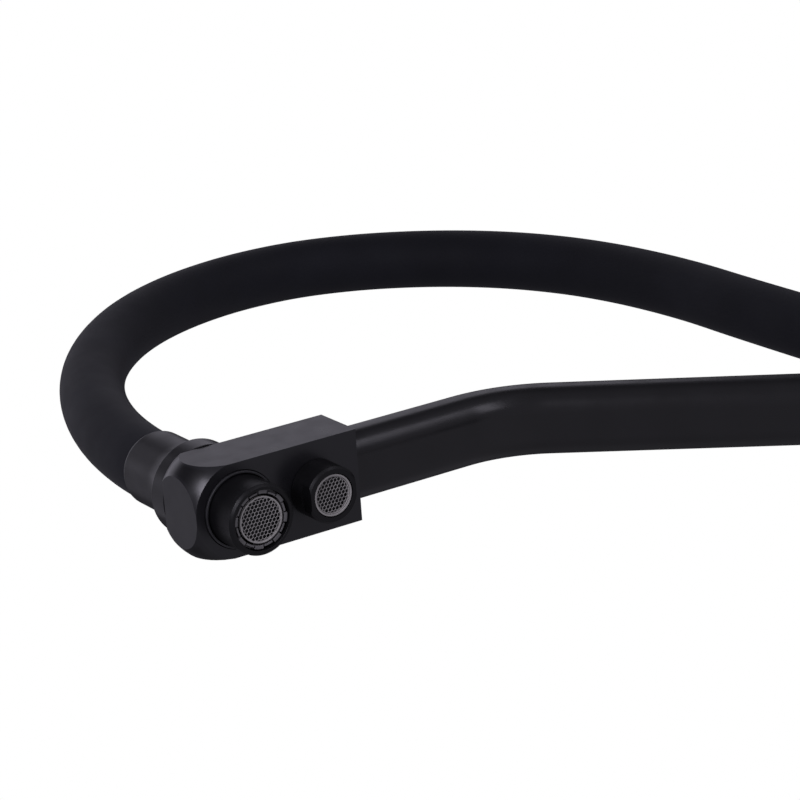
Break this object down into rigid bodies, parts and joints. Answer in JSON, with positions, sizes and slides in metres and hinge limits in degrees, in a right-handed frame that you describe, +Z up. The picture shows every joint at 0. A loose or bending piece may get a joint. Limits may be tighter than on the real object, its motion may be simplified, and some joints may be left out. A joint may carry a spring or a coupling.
{
  "type": "pull-out rinse faucet",
  "caption": "Matte black deck-mounted rinse faucet: a thick silicone hose arches to a docked spray nozzle beside a fixed outlet on a bent arm, with side mixer and filtered-water levers.",
  "frame": {"origin": "the column's axis at the worktop surface, on the underside of the base flange", "axes": "+Z up along the column, the arm points along -Y, and the mixer lever is on +X"},
  "size_m": [0.1201, 0.3095, 0.6026],
  "materials": {
    "matte_black": "matte black powder coat",
    "satin_black": "satin black metal",
    "silicone": "matte silicone sleeve",
    "grey_plastic": "moulded grey acetal",
    "white_plastic": "moulded natural acetal",
    "rubber": "moulded nitrile rubber",
    "brass": "turned brass",
    "steel": "turned stainless steel"
  },
  "bodies": {
    "base": {"base_flange": "matte_black", "base_gasket": "rubber", "threaded_shank": "brass", "rubber_washer": "rubber", "steel_washer": "steel", "mounting_nut": "brass", "jack_screw_right": "steel", "jack_screw_left": "steel", "hot_inlet_tail": "brass", "cold_inlet_tail": "brass", "filtered_inlet_tail": "brass", "main_body": "matte_black", "spout_spigot": "brass", "spout_seal_lower": "rubber", "spout_seal_upper": "rubber", "swivel_bush": "grey_plastic", "mixer_cartridge": "white_plastic", "cartridge_nut": "brass", "mixer_shroud": "matte_black", "filter_headwork": "brass"},
    "mixer_hub": {"cartridge_carrier": "white_plastic", "carrier_pin": "steel"},
    "mixer_lever": {"cartridge_stem": "steel", "mixer_lever": "matte_black", "mixer_lever_screw": "steel", "mixer_lever_plug": "satin_black"},
    "filter_lever": {"filter_spindle": "brass", "filter_lever": "matte_black", "filter_lever_screw": "steel", "filter_lever_plug": "satin_black"},
    "spout": {"swivel_head": "matte_black", "spout_retaining_screw": "steel", "column_collar": "matte_black", "column_hose_tail": "brass", "column_ferrule": "satin_black", "arm_tube": "matte_black", "filtered_water_tube": "white_plastic", "spray_hose": "silicone", "dock_block": "matte_black", "dock_bushing": "grey_plastic", "dock_magnet": "steel", "dock_magnet_cover": "grey_plastic", "small_outlet_housing": "matte_black", "small_outlet_seal": "rubber", "small_aerator_cage": "grey_plastic", "small_screen": "grey_plastic", "small_flow_insert": "white_plastic"},
    "spray": {"dock_ferrule": "satin_black", "dock_hose_tail": "brass"},
    "nozzle": {"nozzle_collar": "matte_black", "dock_armature_ring": "steel", "nozzle_body": "matte_black", "aerator_ring": "matte_black", "aerator_screen": "grey_plastic", "aerator_insert": "white_plastic", "aerator_seal": "rubber", "check_valve": "white_plastic"}
  },
  "joints": [
    {"name": "spout_swivel", "type": "hinge", "parent": "base", "child": "spout", "pos_m": [0, 0, 0.12], "axis": [0, 0, 1], "range_deg": [-90, 90]},
    {"name": "mixer_turn", "type": "hinge", "parent": "base", "child": "mixer_hub", "pos_m": [0.034, 0, 0.066], "axis": [1, 0, 0], "range_deg": [-45, 45]},
    {"name": "mixer_lift", "type": "hinge", "parent": "mixer_hub", "child": "mixer_lever", "pos_m": [0.034, 0, 0.066], "axis": [0, 1, 0], "range_deg": [0, 25]},
    {"name": "filter_turn", "type": "hinge", "parent": "base", "child": "filter_lever", "pos_m": [-0.045, 0, 0.066], "axis": [1, 0, 0], "range_deg": [0, 90]},
    {"name": "spray_pull", "type": "slide", "parent": "spout", "child": "spray", "axis": [0, 0, 1], "range_m": [0, 0.04], "deforming": ["spray_hose"]},
    {"name": "spray_swivel", "type": "hinge", "parent": "spray", "child": "nozzle", "pos_m": [0, -0.2655, 0.29], "axis": [0, 0, 1], "continuous": true}
  ]
}
